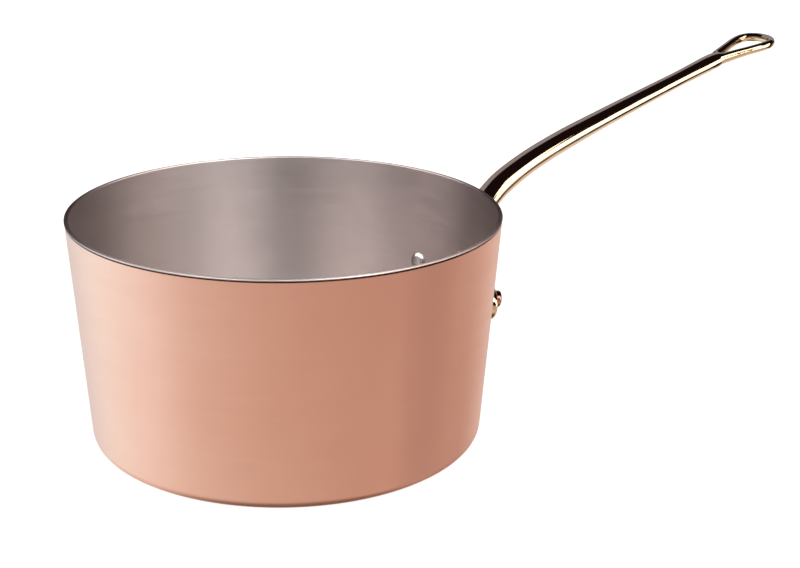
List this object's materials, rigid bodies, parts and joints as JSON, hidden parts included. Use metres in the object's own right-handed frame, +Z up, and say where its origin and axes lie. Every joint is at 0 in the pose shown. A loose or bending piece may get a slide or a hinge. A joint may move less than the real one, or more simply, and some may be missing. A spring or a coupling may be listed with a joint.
{
  "type": "copper saucepan",
  "caption": "Deep round saucepan with slightly tapered copper walls, a brushed steel lining, a flat base and a long riveted brass handle with a hanging loop.",
  "frame": {"origin": "centre of the underside of the base", "axes": "+Z up, out of the pan's mouth; +X along the handle, from the pan's centre to the hanging loop"},
  "size_m": [0.4595, 0.24, 0.2021],
  "materials": {
    "copper": "satin brushed copper",
    "core": "plain",
    "lining": "brushed round the wall",
    "handle_brass": "polished",
    "rivet_copper": "polished, darkened copper",
    "rivet_steel": "polished"
  },
  "bodies": {
    "root": {"copper_shell": "copper", "aluminium_core": "core", "steel_lining": "lining", "handle": "handle_brass", "rivet_left": "rivet_copper", "rivet_centre": "rivet_copper", "rivet_right": "rivet_copper", "rivet_cap_left": "rivet_steel", "rivet_cap_centre": "rivet_steel", "rivet_cap_right": "rivet_steel"}
  },
  "joints": []
}
